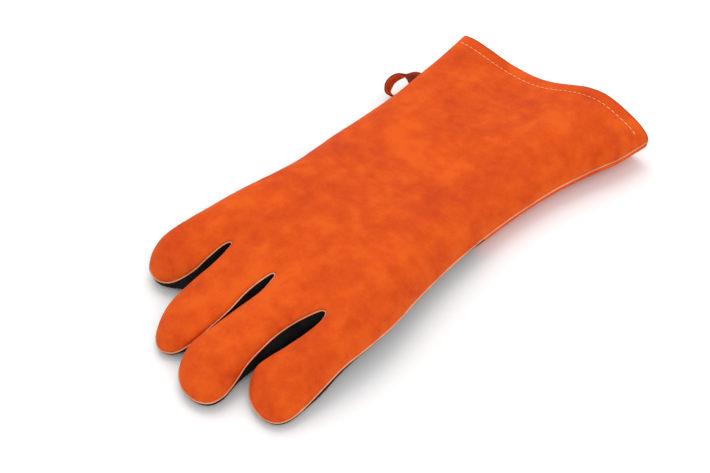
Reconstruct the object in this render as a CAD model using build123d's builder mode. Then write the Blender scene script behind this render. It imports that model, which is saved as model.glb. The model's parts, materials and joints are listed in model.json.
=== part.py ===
"""Heat resistant gauntlet glove for the right hand, lying on its palm with the thumb tucked under it.

Orange split leather covers the back of the hand and both sides of the cuff, and black split leather the palm
side. A pale welt closes the seams between them, and a fleece hand lining and a canvas cuff lining fill the
inside. Millimetres, +Z up through the back of the hand, fingers towards -Y, cuff towards +Y, thumb side
towards +X. The origin lies on the ground, under the middle of the whole glove.
"""

import math
import os

from build123d import *

# Layers of a wall, from the outside in
leather = 1.6
lining = 2.0
layer_gap = 0.3

# Welt that closes a seam: it stands out past the leather on both sides of it
welt_thickness = 1.2
welt_stand_out = 1.4

# Room between two bodies that move, and past the rolling edge of a fold
joint_clearance = 0.3

# Lengths along the glove, from the cuff's edge to the fingers
cuff_length = 130.0
palm_length = 154.0
finger_gap = 3.6
root_overlap = 12.0
root_step = 0.6

# Fingers, from the thumb side out: width at the root and the tip, length from the crotch, lean to the thumb
finger_height = 20.5
finger_tip_height = 17.0
finger_rim = 6.0
finger_flex = 50.0
knuckle_from_crotch = 14.0
droop_from_knuckle = 7.0
fingers = {
    "index": {"root": 35.0, "tip": 36.0, "length": 77.0, "lean": 0.5},
    "middle": {"root": 40.0, "tip": 36.0, "length": 96.0, "lean": -3.5},
    "ring": {"root": 37.0, "tip": 33.0, "length": 76.0, "lean": -1.0},
    "little": {"root": 32.0, "tip": 31.0, "length": 52.0, "lean": -6.0},
}

# Thumb, a flat tube that turns in a round collar under the palm
thumb_height = 15.0
thumb_width = 36.0
thumb_tip_width = 30.0
thumb_length = 78.0
thumb_rim = 5.0
thumb_lean = -5.0
thumb_from_side = 36.0
thumb_from_crease = 57.0
thumb_air_gap = 0.6
collar_radius = 14.1

# Hand and cuff: widths, heights above the underside, and how far the wrist bends
hand_side_margin = 0.3
wrist_width = 140.0
gauntlet_width = 156.0
cuff_width = 168.0
wrist_height = 34.0
gauntlet_height = 37.0
cuff_height = 40.0
knuckle_height = 28.0
bottom_rim = 9.0
wrist_flex = 35.0
wrist_reach_back = 25.0
wrist_straight = 20.0
heel_length = 24.0

# Seams: drop from the finger's top, and height up the side of the hand and cuff
finger_seam_drop = 7.5
hand_seam_height = 11.0
cuff_seam_height = 14.0

# Turned hem at the cuff's edge
hem_depth = 12.0
hem_lip = 2.0

# How finely the eased and rounded stretches are divided
ease_steps = 3
round_steps = 3
round_end = 0.35

# Hanging loop, a folded strap that stands out of the little finger side
strap = 1.6
loop_width = 18.0
loop_reach = 36.0
loop_height = 15.0
loop_from_edge = 48.0

# Worked out from the sizes above
lining_outside = leather + layer_gap
lining_inside = lining_outside + lining
hand_width = sum(f["root"] for f in fingers.values()) + 3 * finger_gap + 2 * hand_side_margin
longest = max(f["length"] for f in fingers.values())
overall_length = hem_lip + cuff_length + palm_length + longest + welt_stand_out
y_edge = overall_length / 2 - hem_lip
y_crease = y_edge - cuff_length
y_crotch = y_crease - palm_length
loop_tail = strap + joint_clearance
loop_stand_off = welt_stand_out + joint_clearance + loop_tail
x_middle = (loop_stand_off + loop_reach - loop_tail) / 2
palm_lift = thumb_height + thumb_air_gap
finger_low = palm_lift + root_step
finger_top = finger_low + finger_height
finger_seam = finger_top - finger_seam_drop
tip_seam = finger_tip_height - finger_seam_drop
finger_axis_height = finger_low + finger_height / 2
finger_drum = finger_height / 2 / math.cos(math.radians(finger_flex / 2))
wrist_drum = wrist_height / 2 / math.cos(math.radians(max(wrist_flex, wrist_reach_back) / 2))
y_heel = y_crease - wrist_straight - heel_length
y_roots = y_crotch + root_overlap + root_step
y_thumb = y_crease - thumb_from_crease
x_thumb = x_middle + hand_width / 2 - thumb_from_side
collar_top = palm_lift + lining_inside
beyond = 500.0

# Stations from the cuff's edge to the crotches: y, half width, underside, seam, top, flat share of the top
stations = [
    (y_edge, cuff_width / 2, 0, cuff_seam_height, cuff_height, 0.5),
    (y_crease + cuff_length / 2, gauntlet_width / 2, 0, cuff_seam_height, gauntlet_height, 0.5),
    (y_crease + wrist_straight, wrist_width / 2, 0, cuff_seam_height, wrist_height, 0.55),
    (y_crease - wrist_straight, wrist_width / 2, 0, cuff_seam_height, wrist_height, 0.55),
    (y_heel, wrist_width / 2 + 1, palm_lift, palm_lift + hand_seam_height, wrist_height + 5, 0.6),
    (y_heel / 2 + y_roots / 2, hand_width / 2, palm_lift, finger_seam, palm_lift + knuckle_height, 0.7),
    (y_roots, hand_width / 2, palm_lift, finger_seam, finger_top + root_step, 0.88),
    (y_crotch, hand_width / 2, palm_lift, finger_seam, finger_top + root_step, 0.88),
]


def place_fingers():
    """Gives each finger its place across the hand, starting on the thumb side."""
    edge = x_middle + hand_width / 2 - hand_side_margin
    for finger in fingers.values():
        finger["x"] = edge - finger["root"] / 2
        edge -= finger["root"] + finger_gap


place_fingers()


def finger_place(finger):
    """The finger's own frame: the crotch line at its origin, the tip towards -Y."""
    return Location((finger["x"], y_crotch, 0), (0, 0, finger["lean"]))


def thumb_place():
    """The thumb's own frame: the collar's axis at its origin, the tip towards -Y."""
    return Location((x_thumb, y_thumb, 0), (0, 0, thumb_lean))


def cross_section(row, rim):
    """Closed outline across a tube: flat underside, round sides, domed top."""
    y, middle, side, low, seam, high, flat = row
    shoulder = seam + 0.6 * (high - seam)
    with BuildSketch(Plane.XZ.offset(-y)) as section:
        with BuildLine():
            Line((middle - side + rim, low), (middle + side - rim, low))
            for s in (1, -1):
                Bezier(
                    (middle + s * (side - rim), low), (middle + s * side, low), (middle + s * side, seam),
                )
                Bezier(
                    (middle + s * side, seam), (middle + s * side, shoulder),
                    (middle + s * side * flat, high), (middle, high),
                )
        make_face()
    return section.sketch


def tube(rows, rim):
    """Solid through a row of cross-sections, whose bottom corners narrow with them."""
    widest = max(row[2] for row in rows)
    with BuildPart() as body:
        for row in rows:
            add(cross_section(row, rim * row[2] / widest))
        loft(ruled=True)
    return body.part


def taken_in(row, inset):
    """The same cross-section, nearer its middle by inset all round."""
    y, middle, side, low, seam, high, flat = row
    return (y, middle, side - inset, low + inset, seam, high - inset, flat)


def rounded_rows(row, reach):
    """Rows that close a tube in a round end, reach beyond the given row."""
    y, middle, side, low, seam, high, flat = row
    steepest = math.acos(round_end)
    rows = []
    for step in range(1, round_steps + 1):
        angle = steepest * step / round_steps
        share = math.cos(angle)
        thick = share ** 0.7
        end = y + reach * math.sin(angle) / math.sin(steepest)
        under, over = (seam - low) * thick, (high - seam) * thick
        rows.append((end, middle, side * share, seam - under, seam, seam + over, flat))
    return rows


def finger_rows(finger, inset):
    """Cross-sections along one finger in its own frame, from inside the hand to the tip."""
    length = finger["length"]
    reach = 0.45 * finger["tip"]
    droop_start = knuckle_from_crotch + droop_from_knuckle
    full_fall = length - droop_start - droop_from_knuckle / 2
    rows = []
    for y in (root_overlap, -droop_start, -(droop_start + droop_from_knuckle), reach - length):
        along = (root_overlap - y) / (root_overlap + length - reach)
        width = finger["root"] + along * (finger["tip"] - finger["root"])
        past = max(0, -y - droop_start)
        bend = min(past, droop_from_knuckle) ** 2 / 2 / droop_from_knuckle
        fall = max(past - droop_from_knuckle / 2, bend) / full_fall
        row = (
            y, 0, width / 2, finger_low * (1 - fall), finger_seam + fall * (tip_seam - finger_seam),
            finger_top + fall * (finger_tip_height - finger_top), 0.75,
        )
        rows.append(taken_in(row, inset))
    return rows + rounded_rows(rows[-1], inset - reach)


def finger_body(finger, inset):
    """Solid of one finger in its own frame, taken in by inset all round."""
    return tube(finger_rows(finger, inset), finger_rim)


def thumb_body(inset, neck=True):
    """Solid of the thumb in its own frame, with the neck that turns in the palm's hole."""
    tip_reach = thumb_tip_width / 2
    seam = thumb_height / 2
    wide = taken_in((0, 0, thumb_width / 2, 0, seam, thumb_height, 0.75), inset)
    narrow = taken_in((tip_reach - thumb_length, 0, tip_reach, 0, seam, thumb_height, 0.75), inset)
    heel = rounded_rows(wide, thumb_width / 2 - inset)
    with BuildPart() as body:
        add(tube([*reversed(heel), wide, narrow, *rounded_rows(narrow, inset - tip_reach)], thumb_rim))
        if neck:
            with BuildSketch(Plane.XY.offset(seam)):
                Circle(collar_radius - inset)
            extrude(amount=collar_top - seam + (layer_gap if inset > 0 else 0))
    return body.part


def hand_rows(inset):
    """Stations of the hand and cuff with a few more between them, on curves that ease in and out."""
    rows = [stations[0]]
    if inset > 0:
        rows.insert(0, (stations[0][0] + 10, *stations[0][1:]))
    for before, after in zip(stations, stations[1:]):
        steps = 1 if before[1:] == after[1:] else ease_steps
        for step in range(1, steps + 1):
            along = step / steps
            eased = (1 - math.cos(math.pi * along)) / 2
            shape = [b + eased * (a - b) for b, a in zip(before[1:], after[1:])]
            rows.append((before[0] + along * (after[0] - before[0]), *shape))
    rows[-1] = (rows[-1][0] + inset, *rows[-1][1:])
    return [taken_in((row[0], x_middle, *row[1:]), inset) for row in rows]


def hand_body(inset):
    """Solid of the hand and cuff without the fingers, open past the cuff's edge where it is taken in."""
    return tube(hand_rows(inset), bottom_rim)


def glove_body(inset):
    """Solid of the cuff, hand and fingers in one, taken in by inset all round."""
    with BuildPart() as body:
        add(hand_body(inset))
        for finger in fingers.values():
            with Locations(finger_place(finger)):
                add(finger_body(finger, inset))
    return body.part


def shell(outside, inside):
    """Wall of the whole glove between two depths below its surface."""
    with BuildPart() as wall:
        add(bodies[outside])
        add(bodies[inside], mode=Mode.SUBTRACT)
    return wall.part


def prism(points, half_width=beyond):
    """Side view outline, y and z, drawn out across the glove."""
    with BuildPart() as solid:
        with BuildSketch(Plane.YZ):
            with BuildLine():
                Polyline(*points, close=True)
            make_face()
        extrude(amount=half_width, both=True)
    return solid.part


def fold_side(y, z, radius, half_width=beyond):
    """All that lies on the finger side of a fold, with the drum that rolls in it."""
    with BuildPart() as side:
        with BuildSketch(Plane.YZ):
            with Locations((y, z)):
                Circle(radius)
            with Locations((y - beyond / 2, z)):
                Rectangle(beyond, beyond)
        extrude(amount=half_width, both=True)
    return side.part


def finger_side(finger, clearance):
    """The moving side of a finger's fold, no wider than half the gap to its neighbours."""
    half_width = finger["root"] / 2 + finger_gap / 2
    side = fold_side(-knuckle_from_crotch, finger_axis_height, finger_drum + clearance, half_width)
    return finger_place(finger) * side


def finger_seam_line(finger):
    """The finger's seam from the side, y and z, in its own frame."""
    return [
        (root_overlap + beyond, finger_seam),
        (-knuckle_from_crotch, finger_seam),
        (-finger["length"], tip_seam),
        (-beyond, tip_seam),
    ]


hand_seam_line = [
    (y_edge + beyond, cuff_seam_height),
    *((row[0], row[3]) for row in stations),
    (-beyond, finger_seam),
]


def above(line):
    """All that lies above a seam line, across the glove."""
    return prism([*line, (line[-1][0], beyond), (line[0][0], beyond)])


def seam_band(line):
    """Band as thick as a welt along a seam line, across the glove."""
    half = welt_thickness / 2
    top = [(y, z + half) for y, z in line]
    low = [(y, z - half) for y, z in reversed(line)]
    return prism(top + low)


def finish(name, part):
    """Labels a finished piece and writes it to its own file."""
    part.label = name
    export_step(part, f"parts/{name}.step")


os.makedirs("parts", exist_ok=True)
bodies = {depth: glove_body(depth) for depth in (0, leather, lining_outside, lining_inside)}
outer_wall = shell(0, leather)
lining_wall = shell(lining_outside, lining_inside)
above_hand_seam = above(hand_seam_line)
hand_side = fold_side(y_crease, wrist_height / 2, wrist_drum)
hand_side_room = fold_side(y_crease, wrist_height / 2, wrist_drum + joint_clearance)
y_hem = y_edge - hem_depth

# Wall of the welt that stands out of the side seams of the cuff and hand, and round the finger roots
with BuildPart() as seam_skin:
    add(glove_body(-welt_stand_out))
    add(seam_band(hand_seam_line), mode=Mode.INTERSECT)
    add(bodies[0], mode=Mode.SUBTRACT)

# Cuff: back and front panels
with BuildPart() as cuff_wall:
    add(outer_wall)
    add(hand_side_room, mode=Mode.SUBTRACT)

with BuildPart() as cuff_back:
    add(cuff_wall.part)
    add(above_hand_seam, mode=Mode.INTERSECT)
finish("cuff_back", cuff_back.part)

with BuildPart() as cuff_front:
    add(cuff_wall.part)
    add(above_hand_seam, mode=Mode.SUBTRACT)
finish("cuff_front", cuff_front.part)

# Cuff lining, from the wrist to the hem
with BuildPart() as cuff_lining:
    add(lining_wall)
    add(hand_side_room, mode=Mode.SUBTRACT)
    with BuildSketch(Plane.XZ.offset(-y_hem + layer_gap)):
        Rectangle(beyond, beyond)
    extrude(amount=-beyond, mode=Mode.SUBTRACT)
finish("cuff_lining", cuff_lining.part)

# Turned hem: the band inside the cuff's mouth and the lip that covers the leather's edge
with BuildPart() as cuff_hem:
    add(lining_wall)
    with BuildSketch(Plane.XZ.offset(-y_hem)):
        Rectangle(beyond, beyond)
    extrude(amount=-(hem_depth + hem_lip), mode=Mode.INTERSECT)
    with BuildSketch(Plane.XZ.offset(-y_edge)):
        add(cross_section(hand_rows(0)[0], bottom_rim))
        add(cross_section(taken_in(hand_rows(0)[0], lining_inside), bottom_rim), mode=Mode.SUBTRACT)
    extrude(amount=-hem_lip)
finish("cuff_hem", cuff_hem.part)

# Side welts of the cuff
with BuildPart() as cuff_seam:
    add(seam_skin.part)
    add(hand_side_room, mode=Mode.SUBTRACT)
for name, welt in zip(("little_side", "thumb_side"), cuff_seam.solids().sort_by(Axis.X)):
    with BuildPart() as cuff_welt:
        add(welt)
    finish(f"cuff_welt_{name}", cuff_welt.part)

# Hand: back, palm with the round hole for the thumb, lining, welt round the finger roots
with BuildPart() as hand_room:
    add(hand_side)
    for finger in fingers.values():
        add(finger_side(finger, joint_clearance), mode=Mode.SUBTRACT)

with BuildPart() as thumb_hole:
    with BuildSketch():
        with Locations((x_thumb, y_thumb)):
            Circle(collar_radius + joint_clearance)
    extrude(amount=finger_axis_height)

with BuildPart() as hand_wall:
    add(outer_wall)
    add(hand_room.part, mode=Mode.INTERSECT)

with BuildPart() as hand_back:
    add(hand_wall.part)
    add(above_hand_seam, mode=Mode.INTERSECT)
finish("hand_back", hand_back.part)

with BuildPart() as palm:
    add(hand_wall.part)
    add(above_hand_seam, mode=Mode.SUBTRACT)
    add(thumb_hole.part, mode=Mode.SUBTRACT)
finish("palm", palm.part)

with BuildPart() as hand_lining:
    add(lining_wall)
    add(hand_room.part, mode=Mode.INTERSECT)
    add(thumb_hole.part, mode=Mode.SUBTRACT)
finish("hand_lining", hand_lining.part)

with BuildPart() as hand_welt:
    add(seam_skin.part)
    add(hand_room.part, mode=Mode.INTERSECT)
finish("hand_welt", hand_welt.part)

# Fingers: back, palm side with the side walls, lining, welt
for name, finger in fingers.items():
    place = finger_place(finger)
    moving_side = place.inverse() * finger_side(finger, 0)
    above_seam = above(finger_seam_line(finger))

    with BuildPart() as finger_wall:
        add(finger_body(finger, 0))
        add(finger_body(finger, leather), mode=Mode.SUBTRACT)
        add(moving_side, mode=Mode.INTERSECT)

    with BuildPart() as finger_back:
        add(finger_wall.part)
        add(above_seam, mode=Mode.INTERSECT)
    finish(f"{name}_back", place * finger_back.part)

    with BuildPart() as finger_palm:
        add(finger_wall.part)
        add(above_seam, mode=Mode.SUBTRACT)
    finish(f"{name}_palm", place * finger_palm.part)

    with BuildPart() as finger_lining:
        add(finger_body(finger, lining_outside))
        add(finger_body(finger, lining_inside), mode=Mode.SUBTRACT)
        add(moving_side, mode=Mode.INTERSECT)
    finish(f"{name}_lining", place * finger_lining.part)

    with BuildPart() as finger_welt:
        add(finger_body(finger, -welt_stand_out))
        add(seam_band(finger_seam_line(finger)), mode=Mode.INTERSECT)
        add(finger_body(finger, 0), mode=Mode.SUBTRACT)
        add(moving_side, mode=Mode.INTERSECT)
    finish(f"{name}_welt", place * finger_welt.part)

# Thumb: upper and lower halves, lining, welt
with BuildPart() as thumb_wall:
    add(thumb_body(0))
    add(thumb_body(leather), mode=Mode.SUBTRACT)

with BuildPart() as thumb_back:
    add(thumb_wall.part)
    split(bisect_by=Plane.XY.offset(thumb_height / 2), keep=Keep.BOTTOM)
finish("thumb_back", thumb_place() * thumb_back.part)

with BuildPart() as thumb_front:
    add(thumb_wall.part)
    split(bisect_by=Plane.XY.offset(thumb_height / 2), keep=Keep.TOP)
finish("thumb_front", thumb_place() * thumb_front.part)

with BuildPart() as thumb_lining:
    add(thumb_body(lining_outside))
    add(thumb_body(lining_inside), mode=Mode.SUBTRACT)
finish("thumb_lining", thumb_place() * thumb_lining.part)

with BuildPart() as thumb_welt:
    add(thumb_body(-welt_stand_out, neck=False))
    add(seam_band([(beyond, thumb_height / 2), (-beyond, thumb_height / 2)]), mode=Mode.INTERSECT)
    add(thumb_body(0), mode=Mode.SUBTRACT)
finish("thumb_welt", thumb_place() * thumb_welt.part)

# Hanging loop: a strap folded double, its two ends together at the seam
y_loop = y_edge - loop_from_edge
x_loop = x_middle - cuff_width / 2 - loop_stand_off
with BuildPart() as hanging_loop:
    with BuildSketch(Plane.XZ.offset(-y_loop)) as loop_outline:
        with Locations((x_loop, cuff_seam_height)):
            Circle(loop_tail)
        with Locations((x_loop - loop_reach + loop_height / 2 + loop_tail, cuff_seam_height)):
            Circle(loop_height / 2)
        make_hull()
        offset(amount=-strap, mode=Mode.SUBTRACT)
    extrude(amount=loop_width / 2, both=True)
finish("hanging_loop", hanging_loop.part)
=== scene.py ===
"""Heat resistant gauntlet glove, lying on its palm: suede leather, welted seams, turned hem, hanging loop.

The leather is modelled as the maker cuts it: one orange piece from the fingertips to the cuff's edge, an orange
front panel at the cuff, a black palm with its fingers, and a thumb that lies under the palm. All of them meet at
one seam line round the glove, closed by a thin pale welt. Sizes are in millimetres until a mesh is made.
"""

from __future__ import annotations

import json
import logging
import math
from dataclasses import dataclass, field
from enum import Enum

import bpy
import numpy as np
from mathutils import Euler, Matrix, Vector, noise
from mathutils.geometry import delaunay_2d_cdt

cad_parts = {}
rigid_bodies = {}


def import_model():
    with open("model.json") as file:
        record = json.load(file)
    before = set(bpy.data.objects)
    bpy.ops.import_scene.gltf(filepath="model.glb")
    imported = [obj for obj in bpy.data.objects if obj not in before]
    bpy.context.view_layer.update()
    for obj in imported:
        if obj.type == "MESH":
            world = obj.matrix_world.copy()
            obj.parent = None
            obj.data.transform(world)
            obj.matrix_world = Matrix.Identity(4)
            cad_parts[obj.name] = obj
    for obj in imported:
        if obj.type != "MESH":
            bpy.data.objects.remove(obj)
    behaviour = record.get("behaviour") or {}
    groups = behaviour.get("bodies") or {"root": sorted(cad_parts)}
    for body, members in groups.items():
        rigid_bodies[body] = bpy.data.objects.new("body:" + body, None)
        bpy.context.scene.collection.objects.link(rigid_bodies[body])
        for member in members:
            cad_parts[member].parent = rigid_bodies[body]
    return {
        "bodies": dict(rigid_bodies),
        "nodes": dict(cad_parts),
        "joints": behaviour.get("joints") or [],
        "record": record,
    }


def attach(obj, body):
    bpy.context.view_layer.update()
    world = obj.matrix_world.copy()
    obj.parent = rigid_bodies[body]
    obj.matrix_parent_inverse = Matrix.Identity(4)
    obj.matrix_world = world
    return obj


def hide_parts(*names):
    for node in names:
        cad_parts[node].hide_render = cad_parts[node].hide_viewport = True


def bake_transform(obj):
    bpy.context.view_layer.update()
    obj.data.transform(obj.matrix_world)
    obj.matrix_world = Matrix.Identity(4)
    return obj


log = logging.getLogger("glove")

MM = 0.001
FINGERS = ("index", "middle", "ring", "little")


class Side(Enum):
    """Which face of the glove a sheet of leather makes."""

    BACK = 1
    PALM = -1


class Body(Enum):
    """Moving parts that the leather is divided between."""

    CUFF = "cuff"
    HAND = "hand"
    INDEX = "index"
    MIDDLE = "middle"
    RING = "ring"
    LITTLE = "little"
    THUMB = "thumb"
    LOOP = "loop"


# ---------------------------------------------------------------------------------------------------------------
# Finishes
# ---------------------------------------------------------------------------------------------------------------


def linear(red: int, green: int, blue: int) -> tuple[float, float, float, float]:
    """Colour of a leather swatch, given in 8-bit sRGB, as the linear colour that shaders use."""
    channels = []
    for value in (red, green, blue):
        share = value / 255
        channels.append(share / 12.92 if share <= 0.04045 else ((share + 0.055) / 1.055) ** 2.4)
    return (*channels, 1.0)


class Group:
    """A shader node group with named inputs and outputs."""

    def __init__(self, name: str, inputs: dict[str, tuple[str, object]], outputs: dict[str, str]) -> None:
        """Makes the empty group.

        Args:
            name: What the group is called.
            inputs: Socket type and default value of each input, by name.
            outputs: Socket type of each output, by name.
        """
        self.tree = bpy.data.node_groups.new(name, "ShaderNodeTree")
        for label, (kind, value) in inputs.items():
            socket = self.tree.interface.new_socket(label, in_out="INPUT", socket_type=kind)
            if value is not None:
                socket.default_value = value
        for label, kind in outputs.items():
            self.tree.interface.new_socket(label, in_out="OUTPUT", socket_type=kind)
        self.inside = self.tree.nodes.new("NodeGroupInput")
        self.outside = self.tree.nodes.new("NodeGroupOutput")

    def add(self, kind: str, **values: object) -> bpy.types.Node:
        """Adds a node and sets its properties."""
        node = self.tree.nodes.new(kind)
        for key, value in values.items():
            setattr(node, key, value)
        return node

    def link(self, source: bpy.types.NodeSocket, target: bpy.types.NodeSocket) -> None:
        """Joins two sockets."""
        self.tree.links.new(source, target)

    def noise(self, scale: float, detail: float, stretch: float = 0.5) -> bpy.types.NodeSocket:
        """Noise over the surface, scale in turns per metre.

        Args:
            scale: How many lumps there are in a metre.
            detail: How many finer layers lie on it.
            stretch: How rough the finer layers are.

        Returns:
            The socket with the noise value.
        """
        node = self.add("ShaderNodeTexNoise")
        node.inputs["Scale"].default_value = scale
        node.inputs["Detail"].default_value = detail
        node.inputs["Roughness"].default_value = stretch
        self.link(self.inside.outputs["Place"], node.inputs["Vector"])
        return node.outputs["Fac"]

    def ramp(self, value: bpy.types.NodeSocket, low: float, high: float) -> bpy.types.NodeSocket:
        """Value spread from 0 at low to 1 at high."""
        node = self.add("ShaderNodeMapRange", interpolation_type="SMOOTHSTEP")
        node.inputs["From Min"].default_value = low
        node.inputs["From Max"].default_value = high
        self.link(value, node.inputs["Value"])
        return node.outputs["Result"]

    def math(self, operation: str, first: object, second: object) -> bpy.types.NodeSocket:
        """Arithmetic on two sockets or numbers."""
        node = self.add("ShaderNodeMath", operation=operation)
        for place, value in enumerate((first, second)):
            if isinstance(value, (int, float)):
                node.inputs[place].default_value = value
            else:
                self.link(value, node.inputs[place])
        return node.outputs["Value"]

    def mix(self, share: object, first: object, second: object) -> bpy.types.NodeSocket:
        """Colour mixed from two colours or colour sockets."""
        node = self.add("ShaderNodeMix", data_type="RGBA")
        for place, value in ((0, share), (6, first), (7, second)):
            if isinstance(value, bpy.types.NodeSocket):
                self.link(value, node.inputs[place])
            else:
                node.inputs[place].default_value = value
        return node.outputs[2]


def mottle_group() -> Group:
    """Cloudy shade of split leather: broad patches, finger-sized blotches and a fine fleck of nap.

    Returns:
        A group from a place and three shades to a colour.
    """
    shades = {
        "Place": ("NodeSocketVector", None),
        "Dark": ("NodeSocketColor", (0.5, 0.5, 0.5, 1)),
        "Main": ("NodeSocketColor", (0.5, 0.5, 0.5, 1)),
        "Bright": ("NodeSocketColor", (0.5, 0.5, 0.5, 1)),
        "Lightening": ("NodeSocketFloat", 0.0),
    }
    group = Group("leather_mottle", shades, {"Color": "NodeSocketColor", "Tone": "NodeSocketFloat"})
    broad = group.noise(26.0, 2.0)
    blotch = group.noise(95.0, 4.0, 0.6)
    fleck = group.noise(900.0, 3.0, 0.7)
    tone = group.math("ADD", group.math("MULTIPLY", broad, 0.42), group.math("MULTIPLY", blotch, 0.40))
    tone = group.math("ADD", tone, group.math("MULTIPLY", fleck, 0.18))
    inside = group.inside.outputs
    low = group.mix(group.ramp(tone, 0.35, 0.52), inside["Dark"], inside["Main"])
    high = group.mix(group.ramp(tone, 0.48, 0.62), low, inside["Bright"])
    # Colour lightened in blotches toward the bright shade, as far as the lightening weight says: near the seams, and
    # a little on the hem and strap.
    lightened = group.mix(group.math("MULTIPLY", inside["Lightening"], group.ramp(blotch, 0.35, 0.6)), high, inside["Bright"])
    group.link(lightened, group.outside.inputs["Color"])
    group.link(tone, group.outside.inputs["Tone"])
    return group


def nap_group() -> Group:
    """Height of a short brushed nap over faint grain and broader unevenness.

    Returns:
        A group from a place to a height between 0 and about 1.
    """
    group = Group("brushed_nap", {"Place": ("NodeSocketVector", None)}, {"Height": "NodeSocketFloat"})
    fibre = group.noise(2600.0, 2.0, 0.7)
    pile = group.noise(800.0, 3.0, 0.6)
    grain = group.noise(210.0, 3.0, 0.5)
    height = group.math("ADD", group.math("MULTIPLY", fibre, 0.35), group.math("MULTIPLY", pile, 0.45))
    height = group.math("ADD", height, group.math("MULTIPLY", grain, 0.6))
    group.link(height, group.outside.inputs["Height"])
    return group


def weave_group() -> Group:
    """Height of a plain weave, threads over and under in both directions.

    Returns:
        A group from a place and a thread count to a height.
    """
    inputs = {"Place": ("NodeSocketVector", None), "Threads": ("NodeSocketFloat", 900.0)}
    group = Group("plain_weave", inputs, {"Height": "NodeSocketFloat"})
    waves = []
    for axis in ("X", "Y"):
        wave = group.add("ShaderNodeTexWave", bands_direction=axis)
        wave.inputs["Distortion"].default_value = 0.6
        group.link(group.inside.outputs["Place"], wave.inputs["Vector"])
        group.link(group.inside.outputs["Threads"], wave.inputs["Scale"])
        waves.append(wave.outputs["Fac"])
    group.link(group.math("MULTIPLY", *waves), group.outside.inputs["Height"])
    return group


@dataclass(frozen=True)
class Leather:
    """Split leather with a brushed nap."""

    name: str
    dark: tuple[int, int, int]
    main: tuple[int, int, int]
    bright: tuple[int, int, int]
    roughness: float = 0.92
    sheen: float = 0.1
    nap: float = 0.00022
    slot: str = "orange_suede"

    def material(self, groups: dict[str, Group]) -> bpy.types.Material:
        """Builds the shader.

        Args:
            groups: The shared effects, by name.

        Returns:
            The finished material.
        """
        material = bpy.data.materials.new(self.name)
        material.use_nodes = True
        tree = material.node_tree
        shader = tree.nodes["Principled BSDF"]
        place = tree.nodes.new("ShaderNodeTexCoord").outputs["Object"]
        mottle = tree.nodes.new("ShaderNodeGroup")
        mottle.node_tree = groups["mottle"].tree
        for label, shade in (("Dark", self.dark), ("Main", self.main), ("Bright", self.bright)):
            mottle.inputs[label].default_value = linear(*shade)
        lightening = tree.nodes.new("ShaderNodeAttribute")
        lightening.attribute_name = "lightening"
        nap = tree.nodes.new("ShaderNodeGroup")
        nap.node_tree = groups["nap"].tree
        bump = tree.nodes.new("ShaderNodeBump")
        bump.inputs["Strength"].default_value = 0.8
        bump.inputs["Distance"].default_value = self.nap
        rough = tree.nodes.new("ShaderNodeMapRange")
        rough.inputs["To Min"].default_value = self.roughness - 0.08
        rough.inputs["To Max"].default_value = min(1.0, self.roughness + 0.08)
        links = tree.links
        links.new(place, mottle.inputs["Place"])
        links.new(place, nap.inputs["Place"])
        links.new(lightening.outputs["Fac"], mottle.inputs["Lightening"])
        links.new(mottle.outputs["Color"], shader.inputs["Base Color"])
        links.new(mottle.outputs["Tone"], rough.inputs["Value"])
        links.new(rough.outputs["Result"], shader.inputs["Roughness"])
        links.new(nap.outputs["Height"], bump.inputs["Height"])
        links.new(bump.outputs["Normal"], shader.inputs["Normal"])
        shader.inputs["Specular IOR Level"].default_value = 0.18
        shader.inputs["Sheen Weight"].default_value = self.sheen
        shader.inputs["Sheen Roughness"].default_value = 0.55
        shader.inputs["Sheen Tint"].default_value = linear(*self.bright)
        return material


@dataclass(frozen=True)
class Cloth:
    """Woven or brushed cotton, as used for linings and thread."""

    name: str
    dark: tuple[int, int, int]
    light: tuple[int, int, int]
    threads: float = 900.0
    relief: float = 0.0003
    slot: str = "canvas"

    def material(self, groups: dict[str, Group]) -> bpy.types.Material:
        """Builds the shader.

        Args:
            groups: The shared effects, by name.

        Returns:
            The finished material.
        """
        material = bpy.data.materials.new(self.name)
        material.use_nodes = True
        tree = material.node_tree
        shader = tree.nodes["Principled BSDF"]
        place = tree.nodes.new("ShaderNodeTexCoord").outputs["Object"]
        weave = tree.nodes.new("ShaderNodeGroup")
        weave.node_tree = groups["weave"].tree
        weave.inputs["Threads"].default_value = self.threads
        mottle = tree.nodes.new("ShaderNodeGroup")
        mottle.node_tree = groups["mottle"].tree
        for label, shade in (("Dark", self.dark), ("Main", self.light), ("Bright", self.light)):
            mottle.inputs[label].default_value = linear(*shade)
        bump = tree.nodes.new("ShaderNodeBump")
        bump.inputs["Distance"].default_value = self.relief
        tree.links.new(place, weave.inputs["Place"])
        tree.links.new(place, mottle.inputs["Place"])
        tree.links.new(mottle.outputs["Color"], shader.inputs["Base Color"])
        tree.links.new(weave.outputs["Height"], bump.inputs["Height"])
        tree.links.new(bump.outputs["Normal"], shader.inputs["Normal"])
        shader.inputs["Roughness"].default_value = 0.95
        shader.inputs["Sheen Weight"].default_value = 0.2
        return material


ORANGE = Leather("orange_suede", (194, 63, 12), (209, 75, 14), (220, 88, 20))
BLACK = Leather("black_suede", (9, 8, 8), (16, 14, 14), (28, 25, 25), sheen=0.05, slot="black_suede")
WELT = Leather("welt_leather", (206, 122, 84), (226, 148, 108), (238, 172, 134), nap=0.0001, slot="welt_leather")
# The hem's dark brown is painted shade along the cuff's edge, where the orange leather turns over.
HEM_PAINTED_SHADE = Leather("hem_leather", (104, 42, 18), (136, 54, 20), (164, 66, 24), slot="hem_leather")
STRAP = Leather("strap_leather", (186, 64, 16), (206, 80, 22), (216, 92, 30), slot="strap_leather")
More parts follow.
